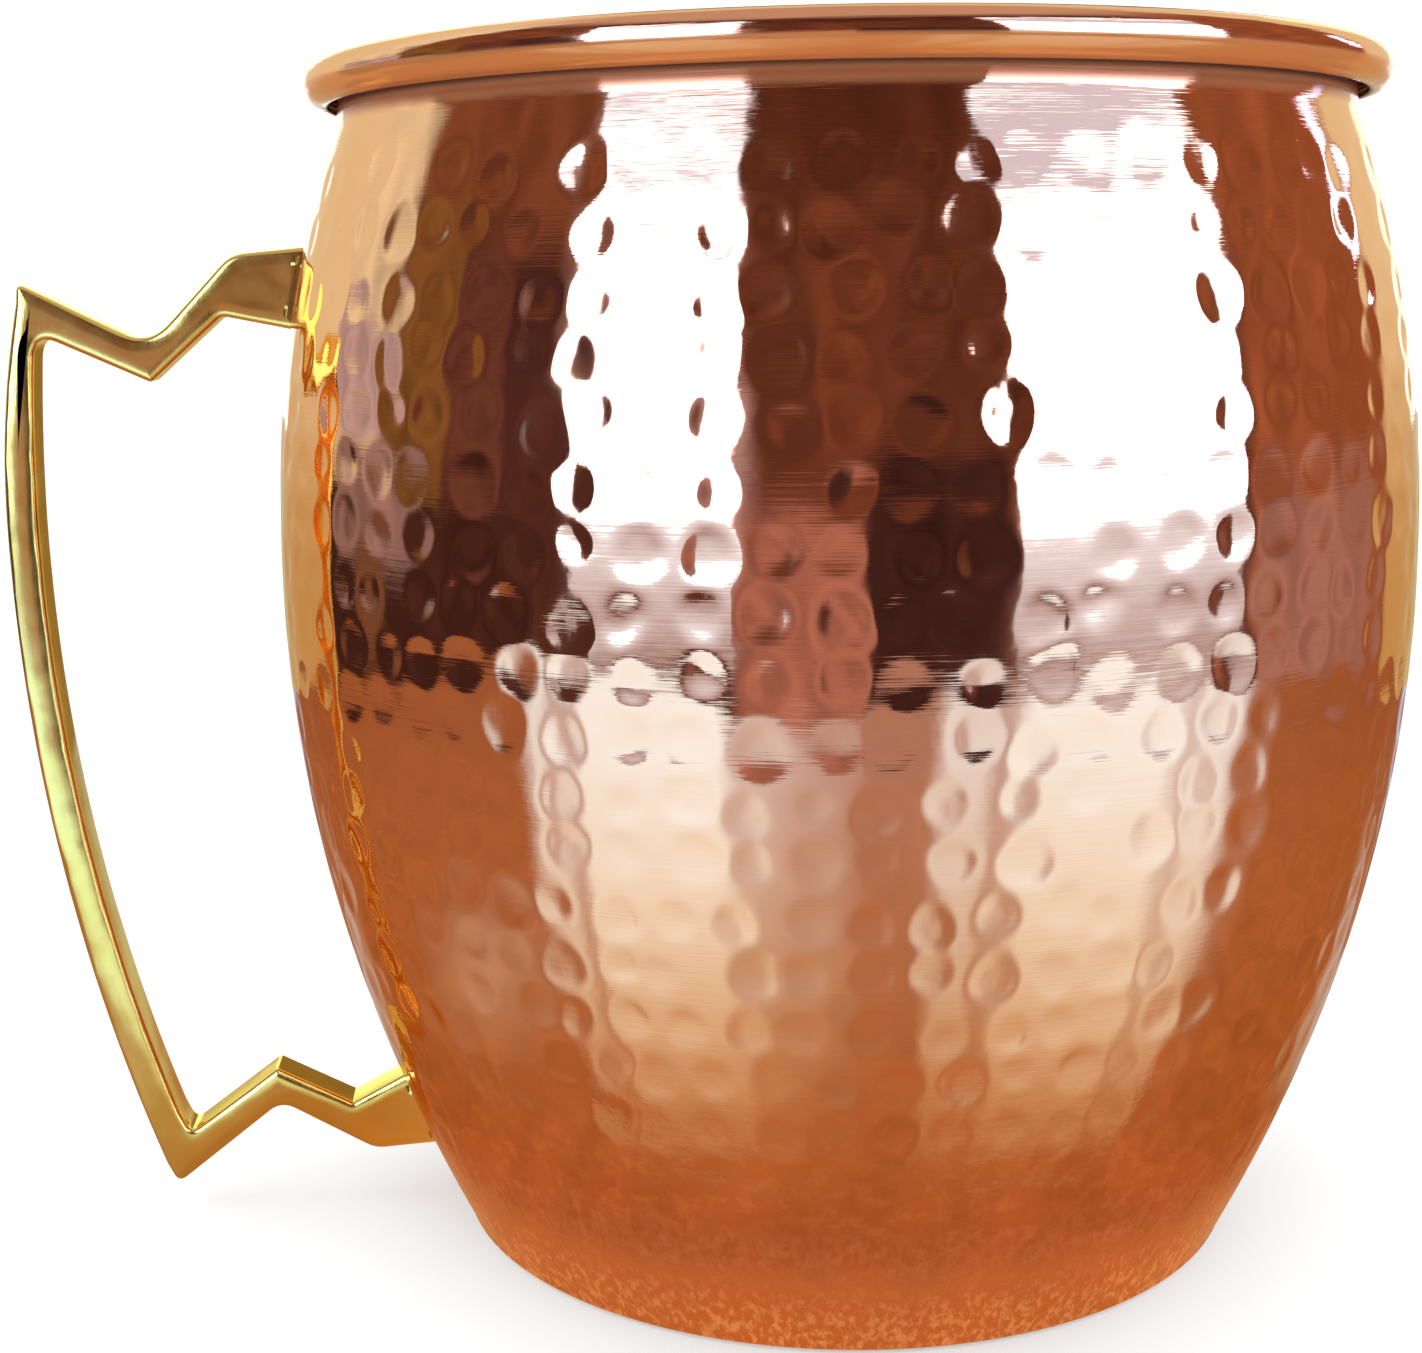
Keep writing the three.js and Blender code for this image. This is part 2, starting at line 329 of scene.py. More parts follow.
# The hammer marks, in millimetres
MARK_ROWS = 19
MARKS_ROUND = 65
MARK_TOP_Z = 183.3
MARK_PITCH = 8.75
MARK_R = 3.75
MARK_R_LIMITS = (2.7, 4.5)
MARK_DEPTH = 0.060  # as a share of the mark's radius
MARK_REACH = 1.3  # how far out a mark is worked out, in its own radii
MISSING = 0.03
INNER_SHARE = 0.8  # how much of a mark's depth shows inside


def bezier(points, count):
    """Points on the curve with three or four control points."""
    t = np.linspace(0, 1, count)[:, None]
    p = [np.asarray(q, float) for q in points]
    if len(p) == 3:
        return (1 - t) ** 2 * p[0] + 2 * t * (1 - t) * p[1] + t**2 * p[2]
    first, last = (1 - t) ** 3 * p[0], t**3 * p[3]
    return first + 3 * t * (1 - t) ** 2 * p[1] + 3 * t**2 * (1 - t) * p[2] + last


def wall_line(depth, start, count):
    """Points at a depth below the outer face, evenly spaced up the wall."""
    z = np.linspace(start, WALL_TOP_Z, count)
    return np.stack([wall_radius(z), z], -1) - depth * wall_normal(z)


def neck_and_roll(depth):
    """From the wall's top over the roll, on the line at that depth below the outer face."""
    half = SHEET / 2
    middle = ROLL_R - half
    start = ROLL_START
    at_start = np.array([RIM_R + middle * math.cos(start), RIM_Z + middle * math.sin(start)])
    into = np.array([math.sin(start), -math.cos(start)])
    wall_top = wall_line(half, WALL_TOP_Z - 1, 2)[-1]
    square = wall_normal(np.array([WALL_TOP_Z]))[0]
    up = np.array([-square[1], square[0]])
    lead = [wall_top, wall_top + NECK_LEAD_IN * up, at_start - NECK_LEAD_OUT * into, at_start]
    neck = bezier(lead, 16)
    step = np.gradient(neck, axis=0)
    step /= np.linalg.norm(step, axis=1, keepdims=True)
    # The outer face lies to the right of the way up
    right = np.stack([step[:, 1], -step[:, 0]], -1)
    right[0] = square
    neck = neck + (half - depth) * right
    a = np.linspace(start, ROLL_END, 44)[1:]
    r = middle - (half - depth)
    roll = np.stack([RIM_R + r * np.cos(a), RIM_Z + r * np.sin(a)], -1)
    return neck[1:], roll


def softened(depth, times):
    """A grid of depths that wraps round, each averaged with its neighbours."""
    for _ in range(times):
        depth = (np.roll(depth, 1, 1) + 2 * depth + np.roll(depth, -1, 1)) / 4
        depth[1:-1] = (depth[:-2] + 2 * depth[1:-1] + depth[2:]) / 4
    return depth


def dents(theta, z, arc):
    """How deep the hammer marks are at each row and column of the wall's grid."""
    depth = np.zeros((len(z), len(theta)))
    rise = arc[-1] / (len(arc) - 1)
    step = theta[1] - theta[0]
    phase = 0.0
    for k in range(MARK_ROWS):
        row_arc = np.interp(MARK_TOP_Z - MARK_PITCH * k, z, arc)
        # The lowest rows hold a mark or two fewer
        count = MARKS_ROUND - (k > 14) - (k > 16)
        phase += rng.uniform(-0.3, 0.3)
        tilt = rng.uniform(-0.6, 0.6)
        for i in range(count):
            if rng.random() < MISSING:
                continue
            angle = (i + phase + rng.normal(0, 0.11)) * 2 * math.pi / count
            here = row_arc + rng.normal(0, 0.7) + tilt * math.sin(angle)
            row = int(round(here / rise))
            radius = float(wall_radius(z[min(row, len(z) - 1)]))
            size = np.clip(rng.normal(MARK_R, 0.42), *MARK_R_LIMITS) * (radius / WIDEST_R) ** 0.35
            # Some blows leave a round hollow, some a flatter one with a steeper edge
            power = rng.uniform(2.0, 4.2)
            deep = size * rng.normal(MARK_DEPTH, 0.008) * (2 / power) ** 0.4
            lean, slip = rng.normal(0, 0.020, 2)
            if k > 16:
                deep *= 0.85
            tall = rng.uniform(1.0, 1.2)
            turn = rng.normal(0, 0.25)
            rows_out = int(math.ceil(size * tall * MARK_REACH / rise))
            r0, r1 = max(row - rows_out, 0), min(row + rows_out + 1, len(z))
            reach = int(math.ceil(size * MARK_REACH / (radius * step)))
            col = int(round(angle / step))
            cols = np.arange(col - reach, col + reach + 1)
            across = radius * (cols * step - angle)[None, :]
            along = (arc[r0:r1] - here)[:, None]
            c, s = math.cos(turn), math.sin(turn)
            u = (c * across + s * along) * tall**0.5
            v = (-s * across + c * along) / tall**0.5
            # The outline wanders off an oval
            lobe = 1 + 0.05 * np.cos(3 * np.arctan2(v, u) + rng.uniform(0, 6.28))
            t = np.sqrt(u * u + v * v) / (size * lobe)
            dip = deep * (1 - t**power) + (lean * u + slip * v) * np.clip(MARK_REACH - t, 0, 1)
            # The hammer's edge leaves a narrow rounding into the wall
            lip = rng.uniform(0.014, 0.036)
            dip = 0.5 * (dip + np.sqrt(dip**2 + lip**2)) - lip * 0.5 * np.clip(t, 0, 1)
            dip[t > MARK_REACH] = 0
            wrapped = cols % len(theta)
            block = depth[r0:r1][:, wrapped]
            depth[r0:r1][:, wrapped] = np.maximum(block, dip)
    return softened(depth, 2)


def hammered_body(material):
    """One closed sheet: the underside, the wall, the roll, the inside and the floor."""
    theta = np.arange(COLS) * 2 * math.pi / COLS
    start_z = SHEET / 2 + BASE_CORNER_R
    outer = wall_line(0, start_z, WALL_ROWS)
    inner = wall_line(SHEET, start_z, INNER_ROWS)
    outer_arc = np.concatenate([[0], np.cumsum(np.linalg.norm(np.diff(outer, axis=0), axis=1))])
    marks = dents(theta, outer[:, 1], outer_arc)

    neck_out, roll_out = neck_and_roll(0)
    neck_in, roll_in = neck_and_roll(SHEET)
    # The sheet's free edge, rounded
    edge_mid = (roll_out[-1] + roll_in[-1]) / 2
    edge_way = (roll_in[-1] - roll_out[-1]) / 2
    past = np.array([edge_way[1], -edge_way[0]])
    turn = np.linspace(0, math.pi, 9)[1:-1, None]
    edge = edge_mid - np.cos(turn) * edge_way - 0.55 * np.sin(turn) * past

    foot = [BASE_R - SHEET / 2 - BASE_CORNER_R, 0.0]
    corner = bezier([foot, [outer[0, 0] - 0.05, 0.0], outer[0]], 7)[:-1]
    underside = np.array([[r, 0.0] for r in (30, 55, 65)])
    inner_foot = [inner[0, 0] - 1.6, SHEET]
    inner_corner = bezier([inner[3], [inner[0, 0], SHEET], inner_foot], 8)[1:]
    floor = np.array([[r, SHEET] for r in (66, 60, 50, 30)])

    before = np.concatenate([underside, corner])
    top = np.concatenate([neck_out, roll_out, edge, roll_in[::-1], neck_in[::-1]])
    down = inner[::-1][:-3]
    profile = np.concatenate([before, outer, top, down, inner_corner, floor])

    sink = np.zeros((len(profile), COLS))
    first = len(before)
    sink[first : first + WALL_ROWS] = marks
    # The marks show through the sheet, softened, on the inside
    soft = softened(marks, 8)
    rows = np.linspace(0, WALL_ROWS - 1, INNER_ROWS)
    low = np.floor(rows).astype(int).clip(0, WALL_ROWS - 2)
    part = (rows - low)[:, None]
    through = INNER_SHARE * ((1 - part) * soft[low] + part * soft[low + 1])
    at = first + WALL_ROWS + len(top)
    sink[at : at + len(down)] = through[::-1][: len(down)]

    normal = np.zeros((len(profile), 2))
    normal[first : first + WALL_ROWS] = wall_normal(outer[:, 1])
    normal[at : at + len(down)] = wall_normal(down[:, 1])
    radius = profile[:, :1] - normal[:, :1] * sink
    height = profile[:, 1:] - normal[:, 1:] * sink
    points = np.stack([radius * np.cos(theta), radius * np.sin(theta), height], -1) * MM
    return closed_grid("hammered_body", points, material)


# ---- Brass ------------------------------------------------------------------

CAST_ROUGHNESS = 0.17
CAST_COLOURS = ((0.94, 0.63, 0.17, 1), (0.88, 0.57, 0.13, 1))
SATIN_ROUGHNESS = 0.24
SATIN_COLOURS = ((0.93, 0.73, 0.32, 1), (0.88, 0.68, 0.28, 1))
BRASS_EDGE_ON = (1.0, 0.88, 0.55, 1)


def brass_material(name, roughness, colours):
    n = Nodes(name)
    where = n.add("TexCoord").outputs["Object"]
    cloud = n.noise(where, 60.0, 4.0, 0.6)
    surface = n.bump(n.noise(where, 95.0, 1.5, 0.45), 0.00035)
    surface = n.bump(n.noise(where, 1.0, 3.0, 0.6, (2600, 900, 260)), 0.000014, surface)
    uneven = n.noise(where, 190.0, 3.0, 0.6)
    return n.finish(
        n.add(
            "BsdfPrincipled",
            Base_Color=n.mix(n.spread(cloud, 0.3, 0.7), *colours),
            Metallic=1.0,
            Roughness=n.spread(uneven, 0.3, 0.75, roughness, roughness + 0.07),
            Normal=surface,
            Specular_Tint=BRASS_EDGE_ON,
        )
    )


# ---- The handle: one casting, its feet let into the wall's sheet -------------

EDGE = 1.1  # rounding of the casting's long edges
CROWN_ANGLE = math.radians(10)  # slope of the domed faces where they meet the edges
CROWN_IN = 2.55  # how far in from the outline the doming goes
FOOT_SINK = 1.0  # how far the feet's ends stand into the sheet
CORNER_STEPS = 9
LEAST_ROUNDING = 0.12
# How the edges' width wanders round the outline: (waves, where they start, size)
WANDER = ((17, 1, 0.13), (41, 2, 0.10), (73, 0, 0.05))


def bow(start, end, reach, arc_r, steps):
    """Corners between two others on an arc that stands upright at BAR_REACH_Z."""
    z = np.linspace(start[1], end[1], steps + 1)[1:-1]
    r = reach - arc_r + np.sqrt(arc_r**2 - (z - BAR_REACH_Z) ** 2)
    return [[a, b, 0] for a, b in zip(r, z)]


def meet_wall(inner, outer):
    """Where the line between two corners reaches the feet's ends."""
    t = np.linspace(0, 1, 4001)
    r = inner[0] + t * (outer[0] - inner[0])
    z = inner[1] + t * (outer[1] - inner[1])
    i = int(np.argmax(r > wall_radius(z) - FOOT_SINK))
    return [r[i], z[i], inner[2]]


def foot_end(start, end):
    """Corners along the wall between a foot's two ends."""
    z = np.linspace(start[1], end[1], 8)[1:-1]
    return [[r - FOOT_SINK, h, 0] for r, h in zip(wall_radius(z), z)]


def handle_corners():
    furthest = [BAR_REACH, BAR_REACH_Z, 0]
    top = [meet_wall(*UPPER_ARM_TOP[:2])] + UPPER_ARM_TOP[1:]
    under = UPPER_ARM_UNDERSIDE[:-1] + [meet_wall(*UPPER_ARM_UNDERSIDE[:-3:-1])]
    bottom = LOWER_ARM_BOTTOM[:-1] + [meet_wall(*LOWER_ARM_BOTTOM[:-3:-1])]
    low_top = [meet_wall(*LOWER_ARM_TOP[:2])] + LOWER_ARM_TOP[1:]
    return np.array(
        top
        + [OUTER_TOP_CORNER]
        + bow(OUTER_TOP_CORNER, furthest, BAR_REACH, BOW_OUTER_TOP_R, 12)
        + [furthest]
        + bow(furthest, OUTER_TIP, BAR_REACH, BOW_OUTER_R, 30)
        + [OUTER_TIP]
        + bottom
        + foot_end(bottom[-1], low_top[0])
        + low_top
        + [INNER_BOTTOM_CORNER]
        + bow(INNER_BOTTOM_CORNER, INNER_TOP_CORNER, BAR_REACH - BAR_WIDTH, BOW_INNER_R, 36)
        + [INNER_TOP_CORNER]
        + under
        + foot_end(under[-1], top[0]),
        float,
    )


def inset_outline(corners, inset):
    """The outline moved in by a distance, with its corners rounded."""
    at = corners[:, :2]

    def unit(v):
        return v / np.linalg.norm(v, axis=1, keepdims=True)

    way_in = unit(at - np.roll(at, 1, 0))
    way_out = unit(np.roll(at, -1, 0) - at)
    # The outline runs clockwise, so its inside lies to the right
    right_in = np.stack([way_in[:, 1], -way_in[:, 0]], 1)
    right_out = np.stack([way_out[:, 1], -way_out[:, 0]], 1)
    spread = 1 + (right_in * right_out).sum(1, keepdims=True)
    moved = at + inset * (right_in + right_out) / spread
    turn = way_in[:, 0] * way_out[:, 1] - way_in[:, 1] * way_out[:, 0]
    line = []
    for i, (here, rounding) in enumerate(zip(moved, corners[:, 2])):
        if rounding == 0:
            line.append(here)
            continue
        rounding = max(rounding - inset, LEAST_ROUNDING) if turn[i] < 0 else rounding + inset
        half_angle = 0.5 * math.acos(float(np.clip(-way_in[i] @ way_out[i], -1, 1)))
        setback = rounding / math.tan(half_angle)
        before, after = here - setback * way_in[i], here + setback * way_out[i]
        line.extend(bezier([before, here, after], CORNER_STEPS))
    return np.array(line)


def casting_section():
    """From the middle of an edge to the domed face, as (inset from the outline, height)."""
    edge_end = math.pi / 2 - CROWN_ANGLE
    edge_in = EDGE * (1 - math.cos(edge_end))
    crown = math.tan(CROWN_ANGLE) * (CROWN_IN - edge_in) / 2
    face = BAR_THICKNESS / 2
    rise_start = face - crown - EDGE * math.sin(edge_end)
    section = []
    for a in np.linspace(0, edge_end, 7):
        section.append((EDGE * (1 - math.cos(a)), rise_start + EDGE * math.sin(a)))
    for t in np.linspace(0, 1, 7)[1:]:
        section.append((edge_in + t * (CROWN_IN - edge_in), face - crown * (1 - t) ** 2))
    return section


def handle_casting(material):
    corners = handle_corners()
    start = inset_outline(corners, 0)
    run = np.cumsum(np.linalg.norm(np.diff(start, axis=0, prepend=start[:1]), axis=1))
    turns = 2 * math.pi * run / run[-1]
    # The edges are finished by hand, so their width wanders
    wander = sum(size * np.sin(waves * turns + begin) for waves, begin, size in WANDER)
    into = inset_outline(corners, 1.0) - start
    rings = []
    for inset, y in casting_section():
        if inset < EDGE:
            share = math.sin(inset / EDGE * math.pi / 2)
        else:
            share = (CROWN_IN - inset) / CROWN_IN
        line = inset_outline(corners, inset) + share * wander[:, None] * into
        rings.append(np.stack([-line[:, 0], np.full(len(line), y), line[:, 1]], -1))
    near = [ring * [1, -1, 1] for ring in rings]
    points = np.array(near[::-1] + rings) * MM
    return closed_grid("brass_handle", points, material)


# ---- The studio -------------------------------------------------------------
# The mug mirrors a dome, a table and window cards that only reflected light can see. They
# carry their own light, as the colour attribute "glow". Azimuths are in degrees: 0 is
# straight towards the camera, growing to its right.

CENTRE = np.array([0, 0, 0.115])
DOME_R = 3.0
CARD_R = 2.6
BACKDROP_R = 6.0
FLOOR_Z = -0.0004
TABLE_Z = -0.0008
TURN = 8  # degrees from the view square to the handle's plane to the camera's
COPPER = np.array([0.90, 0.42, 0.22])


def seen(red, green, blue):
    """The light that copper shows as this colour."""
    return np.array([red, green, blue]) / COPPER


def glow_material():
    n = Nodes("studio_glow")
    glow = n.add("Attribute", {"attribute_name": "glow"})
    return n.finish(n.add("Emission", Color=glow.outputs["Color"], Strength=1.0))


def reflected_only(obj):
    obj.visible_camera = False
    obj.visible_diffuse = False
    obj.visible_shadow = False


def set_glow(obj, colours):
    layer = obj.data.attributes.new("glow", "FLOAT_COLOR", "POINT")
    rgba = np.ones((len(obj.data.vertices), 4), np.float32)
    rgba[:, :3] = colours.reshape(-1, 3)
    layer.data.foreach_set("color", rgba.reshape(-1))


def direction(az, el):
    """Unit vectors towards an azimuth and an elevation."""
    az, el = np.radians(az - TURN), np.radians(el)
    return np.stack([np.sin(az) * np.cos(el), -np.cos(az) * np.cos(el), np.sin(el)], -1)


def ease(x, a, b):
    """0 up to a, 1 from b on, and smooth between."""
    t = np.clip((x - a) / (b - a), 0, 1)
    return t * t * (3 - 2 * t)


def blend(t, a, b):
    return (1 - t)[..., None] * np.asarray(a, float) + t[..., None] * np.asarray(b, float)


def stops(x, run):
    """Colours at x, from a run of (place, colour)."""
    places, colours = zip(*run)
    return np.stack([np.interp(x, places, channel) for channel in np.array(colours).T], -1)


def card(name, material, left, right, el, colour):
    """A curved card. Its left and right edges are (azimuth at the bottom, at the top), and
    its colour may be a pair, for its bottom and its top."""
    v = np.linspace(0, 1, max(2, int((el[1] - el[0]) / 2) + 2))[:, None]
    u = np.linspace(0, 1, 16)[None, :]
    a = (1 - u) * ((1 - v) * left[0] + v * left[1]) + u * ((1 - v) * right[0] + v * right[1])
    e = (1 - v) * el[0] + v * el[1] + 0 * u
    obj = grid_object(name, CENTRE + CARD_R * direction(a, e), False, material)
    low, high = colour if isinstance(colour, list) else (colour, colour)
    set_glow(obj, blend(v + 0 * u, low, high))
    reflected_only(obj)


WHITE = (3.8, 5.3, 8.8)
DIM_WHITE = (2.0, 3.35, 6.0)
NARROW_WHITE = (2.4, 3.6, 9.0)
BACK_WHITE = (2.0, 2.2, 2.5)
MAUVE = seen(0.70, 0.53, 0.53)
SILL = [seen(0.42, 0.22, 0.175), seen(0.92, 0.76, 0.73)]

# The windows: name, left edge, right edge, elevations, colour
CARDS = [
    ("window_left", (-50, -54), (-20, -20.5), (-1, 31), WHITE),
    ("window_left_bar", (-54, -54.5), (-20.5, -20.7), (31, 33), MAUVE),
    ("window_left_upper", (-54.5, -57), (-20.7, -21.2), (33, 37.6), DIM_WHITE),
    ("window_left_bar_2", (-57, -58), (-21.2, -21.4), (37.6, 41.5), MAUVE),
    ("window_left_top", (-58, -59), (-21.4, -21.6), (41.5, 45), DIM_WHITE),
    ("window_left_sill", (-50, -50), (-20, -20), (-11, -1), SILL),
    ("window_right", (32, 31), (78, 80), (-1, 31), WHITE),
    ("window_right_upper", (31, 31), (80, 86), (31, 42.5), MAUVE),
    ("window_right_top", (31, 31), (86, 87), (42.5, 45), DIM_WHITE),
    ("window_right_sill", (32, 32), (77, 78), (-12, -1), SILL),
    ("window_narrow", (122, 118.5), (126, 123), (10, 24), NARROW_WHITE),
    ("window_back", (146, 146), (162, 162), (-2, 34), BACK_WHITE),
    ("window_back_2", (-166, -166), (-148, -148), (-2, 34), BACK_WHITE),
]

# Soft patches of the room: from and to azimuth, from and to elevation, how soft the sides
# and the ends are, and the colour that the copper shows
PATCHES = [
    (-97, -80, -11, 25, 1.5, 5, (0.19, 0.062, 0.014)),
    (-80, -50, -12, 30, 1.5, 6, (0.082, 0.020, 0.012)),
    (-80, -67, 0, 22, 2, 4, (0.135, 0.034, 0.018)),
    (-66, -59, 8, 28, 2, 5, (0.058, 0.015, 0.010)),
    (-58, -49, 16, 40, 2, 6, (0.22, 0.085, 0.06)),
    (-119, -97, 2, 10, 1, 1.5, (0.46, 0.25, 0.21)),
    (-121, -60, -15, -1, 1, 1, (0.055, 0.014, 0.008)),
    (-113, -88, -6, 1, 2, 1.5, (0.27, 0.12, 0.09)),
    (-107, -98, -11, -4, 1.5, 1.5, (0.16, 0.05, 0.02)),
    (-101, -56, 24, 46, 4, 5, (0.19, 0.045, 0.016)),
    (-22, 34, 34, 60, 3, 7, (0.088, 0.019, 0.008)),
    (-21, -17, -12, 14, 3, 5, (0.42, 0.20, 0.16)),
    (-19, 5, -20, 1, 3, 3, (0.36, 0.105, 0.060)),
    (4, 30, -14, 6, 1, 1.5, (0.050, 0.013, 0.009)),
    (-4, 5, 8, 30, 3, 6, (0.175, 0.038, 0.014)),
    (83, 122, -14, -1, 4, 3, (0.36, 0.13, 0.085)),
    (165, 190, -14, 34, 2, 6, (0.26, 0.085, 0.022)),
    (-190, -170, -14, 34, 2, 6, (0.26, 0.085, 0.022)),
]


def clutter(az, el):
    """A smooth uneven pattern, about -1 to 1, in place of the room's furniture."""
    broad = np.sin(az / 3.3 + 2.0 * np.sin(el / 7.0)) * np.sin(el / 4.4 + 1.7 * np.sin(az / 9.0))
    fine = np.sin(az / 1.6 + 1.0 + 1.5 * np.sin(el / 5.0)) * np.sin(el / 2.2 + 2.0)
    return broad * 0.7 + fine * 0.45


def room_colour(az, el):
    """The room's soft light, away from the windows, by direction."""
    middle = seen(0.125, 0.028, 0.012)
    brown = seen(0.29, 0.065, 0.021)
    pale = seen(0.80, 0.49, 0.265)
    golden = seen(0.56, 0.26, 0.085)
    ceiling = seen(0.55, 0.24, 0.13)
    colour = blend(ease(az, 79, 84), middle, brown)
    behind = blend(ease(el, -9, 8), golden, pale)
    for share in (ease(az, 124, 129), ease(-az, 96, 103)):
        colour = blend(share, colour, behind)
    for a0, a1, e0, e1, soft_a, soft_e, shade in PATCHES:
        inside = ease(az, a0 - soft_a, a0 + soft_a) * ease(-az, -a1 - soft_a, -a1 + soft_a)
        inside = inside * ease(el, e0 - soft_e, e0 + soft_e) * ease(-el, -e1 - soft_e, -e1 + soft_e)
        colour = blend(inside, colour, seen(*shade))
    in_front = ease(-np.abs(az), -125, -100)
    colour = colour * (1 + 0.30 * clutter(az, el) * in_front)[..., None]
    return blend(ease(el, 48, 66), colour, ceiling)


# How strongly the table shows the windows, and how far it reaches in metres, by azimuth
SHEEN = [
    (-175, 0.1), (-165, 0.3), (-149, 0.3), (-138, 0), (-66, 0), (-61, 0.85), (-58, 0.75),
    (-56, 0.35), (-54, 0.4), (-52, 1), (-24, 1), (-18, 0.5), (-8, 0.35), (2, 0.22), (6, 0.1),
    (17, 0.1), (21, 0.75), (27, 0.7), (30, 0.3), (33, 0.4), (36, 1), (64, 1), (68, 0.6),
    (71, 0.55), (74, 0.9), (79, 0.75), (85, 0.1), (92, 0), (137, 0), (147, 0.3), (161, 0.3),
    (171, 0.1),
]
TABLE_EDGE = [
    (-180, 0.52), (-100, 0.515), (-80, 0.575), (-63, 0.675), (-42, 0.633), (-25, 0.60),
    (-17, 0.44), (2, 0.43), (9, 0.56), (30, 0.58), (55, 0.617), (100, 0.534), (130, 0.52),
    (180, 0.52),
]

# The table's colours in the copper, by distance: with a window's sheen on it, and without
SHEEN_COLOURS = [
    (0.10, seen(0.46, 0.115, 0.03)),
    (0.12, seen(0.55, 0.19, 0.065)),
    (0.14, seen(0.65, 0.30, 0.13)),
    (0.17, seen(0.77, 0.46, 0.26)),
    (0.21, seen(0.87, 0.61, 0.42)),
    (0.27, seen(0.91, 0.70, 0.54)),
    (0.36, seen(0.95, 0.78, 0.66)),
    (0.55, seen(0.97, 0.84, 0.74)),
]
PLAIN_COLOURS = [
    (0.071, seen(0.60, 0.16, 0.036)),
    (0.085, seen(0.50, 0.115, 0.027)),
    (0.11, seen(0.44, 0.10, 0.024)),
    (0.16, seen(0.39, 0.094, 0.022)),
    (0.25, seen(0.40, 0.102, 0.028)),
    (0.6, seen(0.33, 0.085, 0.028)),
]
POOL_AT, POOL_WIDTH, POOL_LIGHT = (-0.152, -0.055), 0.028, 0.30
GRAIN_PITCH = 2.2 * MM
BELLY_R = 0.09


def by_azimuth(az, pairs):
    return np.interp(az, *zip(*pairs))


def azimuth(x, y):
    az = np.degrees(np.arctan2(x, -y)) + TURN
    return (az + 180) % 360 - 180


def table_colour(x, y):
    """What the mug sees of the table it stands on, by place."""
    # The streaks run away from the wall where the wall mirrors them to the camera, not from
    # the axis, so the azimuth is taken from that place on the wall
    way = azimuth(x, y)
    for _ in range(30):
        mirror = BELLY_R * direction(way / 2.3, 0 * way)
        off_x, off_y = x - mirror[..., 0], y - mirror[..., 1]
        way = 0.5 * way + 0.5 * azimuth(off_x, off_y)
    # Round the back that place isn't in the camera's sight, and the axis will do
    from_axis, az = np.hypot(x, y), azimuth(x, y)
    way = np.where(np.abs(az) > 125, az, way)
    clear_of_foot = ease(from_axis, 0.098, 0.112)
    along = BELLY_R + np.hypot(off_x, off_y)
    r = along * clear_of_foot + from_axis * (1 - clear_of_foot)
    # A soft pool of light by the handle's lower corner
    off_pool = np.hypot(x - POOL_AT[0], y - POOL_AT[1])
    pool = POOL_LIGHT * np.exp(-(off_pool**2) / (2 * POOL_WIDTH**2))
    amount = np.maximum(by_azimuth(way, SHEEN) * clear_of_foot, pool)
    grain = 1 + 0.15 * clutter(x / GRAIN_PITCH, y / GRAIN_PITCH)
    plain = stops(r, PLAIN_COLOURS) * grain[..., None]
    return blend(amount, plain, stops(r, SHEEN_COLOURS))


def all_ways(az_count, el_count, el_end):
    """Azimuths and elevations of a grid that covers all directions."""
    az = np.linspace(-180, 180, az_count)[None, :]
    el = np.linspace(-el_end, el_end, el_count)[:, None]
    return np.broadcast_arrays(az, el)


def build_reflections():
    """What the mug mirrors: the room, the table and the windows."""
    glow = glow_material()
    az, el = all_ways(481, 240, 89.5)
    room = grid_object("room_light", CENTRE + DOME_R * direction(az, el), False, glow)
    set_glow(room, room_colour(az, el))
    reflected_only(room)

    ang = np.linspace(-180, 180, 241)[None, :]
    part = np.concatenate([np.linspace(0, 0.5, 81), np.linspace(0.51, 1, 40)])[:, None]
    rad = part * by_azimuth(ang + TURN, TABLE_EDGE)
    x, y = rad * np.sin(np.radians(ang)), -rad * np.cos(np.radians(ang))
    points = np.stack([x, y, np.full_like(x, TABLE_Z)], -1)
    table = grid_object("table_light", points, False, glow)
    # The tiny shift keeps the middle from being exactly on the axis
    set_glow(table, table_colour(x + 1e-9, y))
    reflected_only(table)

    for name, left, right, el, colour in CARDS:
        card(name, glow, left, right, el, colour)


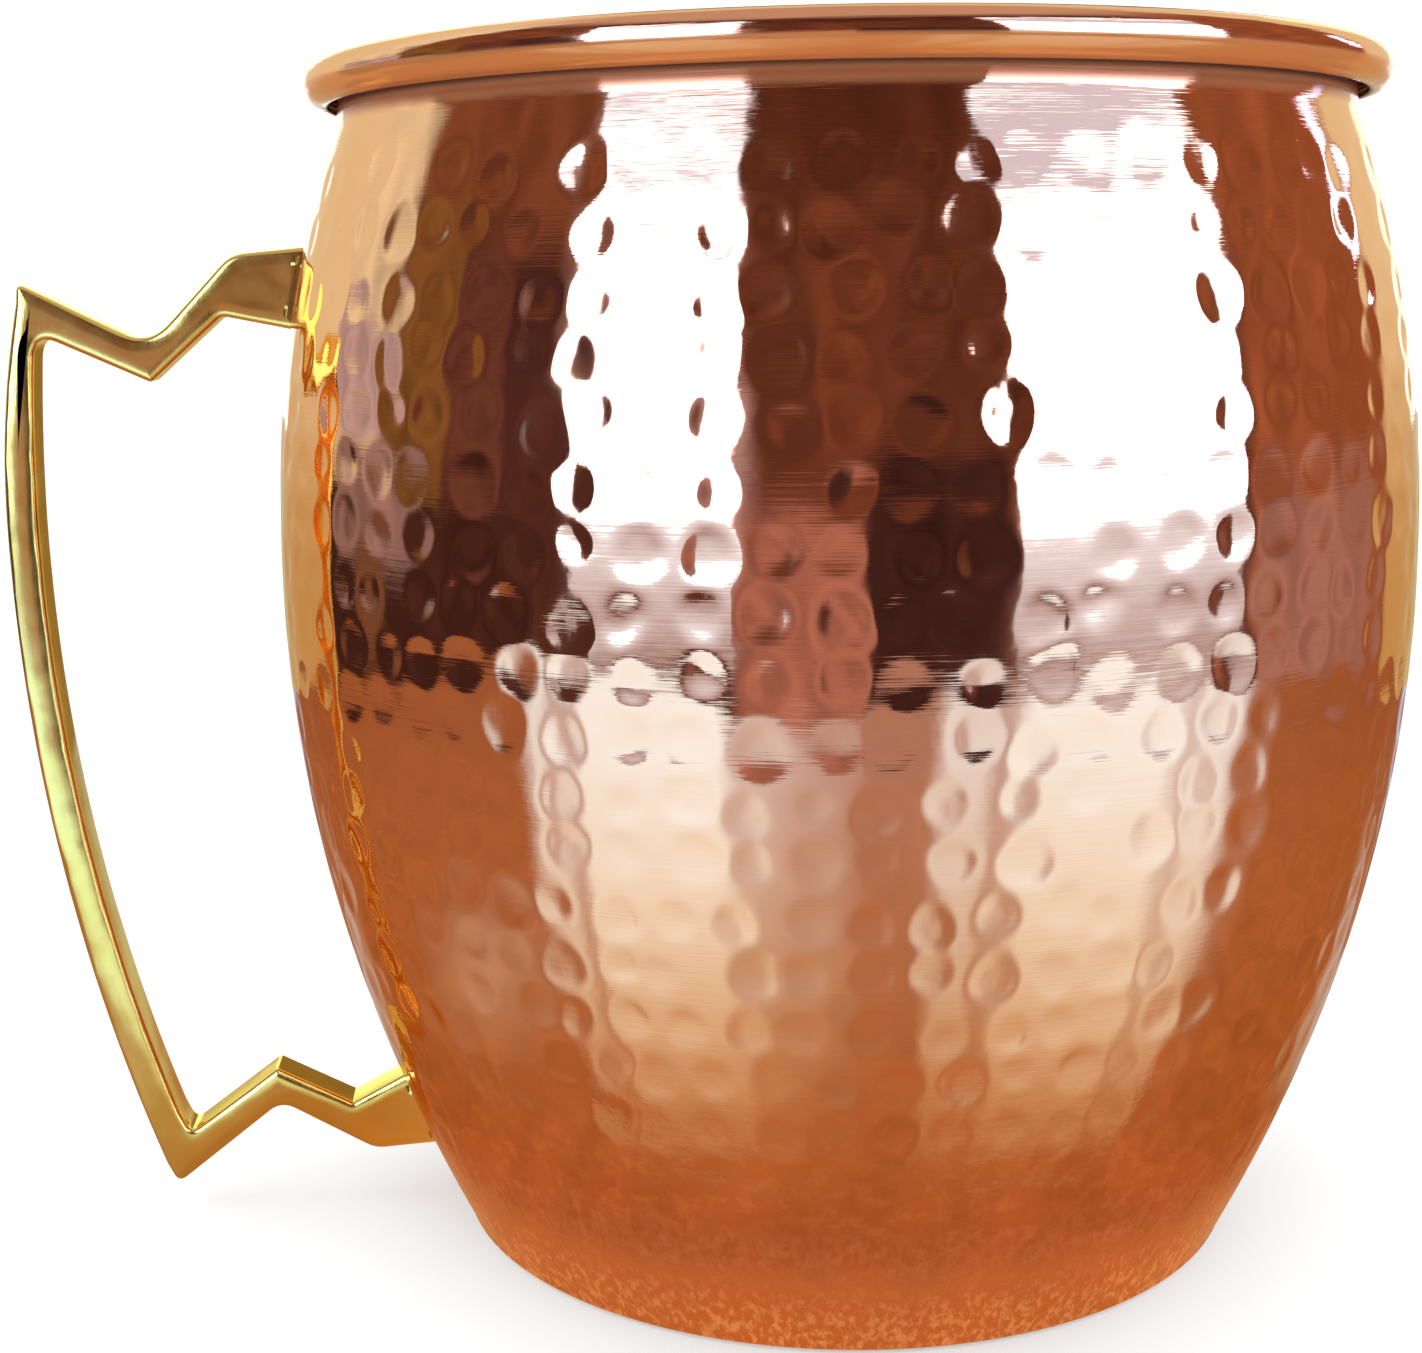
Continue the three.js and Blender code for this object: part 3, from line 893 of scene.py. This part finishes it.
def build_surround():
    """What the camera sees behind and under the mug: a white backdrop, and a white floor with a
    painted contact shadow.
    """
    n = Nodes("white_backdrop")
    white = n.finish(n.add("Emission", Color=(1, 1, 1, 1), Strength=1.2))
    points = CENTRE + BACKDROP_R * direction(*all_ways(37, 19, 89.9))
    backdrop = grid_object("backdrop", points, False, white)

    # The floor carries a painted contact shadow: it darkens where the mug closes it in
    n = Nodes("floor_painted_shadow")
    open_share = n.add("AmbientOcclusion", {"samples": 2}, Distance=0.05).outputs["AO"]
    tone = n.mix(n.spread(open_share, 0.0, 0.75), (0.50, 0.42, 0.38, 1), (1.15, 1.15, 1.15, 1))
    white = n.finish(n.add("Emission", Color=tone, Strength=1.0))
    ring = np.radians(np.linspace(0, 360, 97))[None, :-1]
    r = np.array([0.001, 0.05, 0.1, 0.2, 0.5, 2.5])[:, None]
    points = np.stack([r * np.cos(ring), r * np.sin(ring), FLOOR_Z + 0 * r * ring], -1)
    floor = grid_object("floor", points, True, white)

    for obj in (backdrop, floor):
        obj.visible_glossy = False
        obj.visible_diffuse = False
        obj.visible_shadow = False

    # The world's even white light is what the matt parts show: the foot's mottled skin, and the
    # painted shade and painted reflection by the roll
    world = bpy.data.worlds.new("studio")
    world.use_nodes = True
    world.node_tree.nodes["Background"].inputs[0].default_value = (1, 1, 1, 1)
    bpy.context.scene.world = world
    view = bpy.context.scene.view_settings
    view.view_transform = "Standard"
    view.look = "None"


# ---- The camera, at the photograph's viewing angle --------------------------

CAMERA_TURN = math.radians(TURN)
CAMERA_REACH = 0.3819
CAMERA_Z = 0.1685
AIM = math.radians(4.445)
PITCH = 0.18817
ROLL = -0.012646


def build_camera():
    forward = Vector(
        (math.sin(AIM) * math.cos(PITCH), math.cos(AIM) * math.cos(PITCH), -math.sin(PITCH))
    )
    roll = Matrix.Rotation(ROLL, 3, "Z").to_quaternion()
    camera = bpy.data.objects.new("camera", bpy.data.cameras.new("camera"))
    camera.data.sensor_width = 36
    camera.data.lens = 53.88
    camera.data.clip_start = 0.01
    camera.rotation_mode = "QUATERNION"
    camera.rotation_quaternion = forward.to_track_quat("-Z", "Y") @ roll
    camera.location = (
        -CAMERA_REACH * math.sin(CAMERA_TURN),
        -CAMERA_REACH * math.cos(CAMERA_TURN),
        CAMERA_Z,
    )
    bpy.context.scene.collection.objects.link(camera)
    bpy.context.scene.camera = camera


# ---- Everything together ----------------------------------------------------

build_camera()
build_reflections()
build_surround()

body = hammered_body(copper_material())
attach(body, "root")
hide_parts("body_shell")

handle = handle_casting(brass_material("cast_brass", CAST_ROUGHNESS, CAST_COLOURS))
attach(handle, "root")
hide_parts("handle")

satin = brass_material("satin_brass", SATIN_ROUGHNESS, SATIN_COLOURS)
for node in ("upper_washer", "upper_rivet", "lower_washer", "lower_rivet"):
    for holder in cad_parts[node].material_slots:
        holder.material = satin
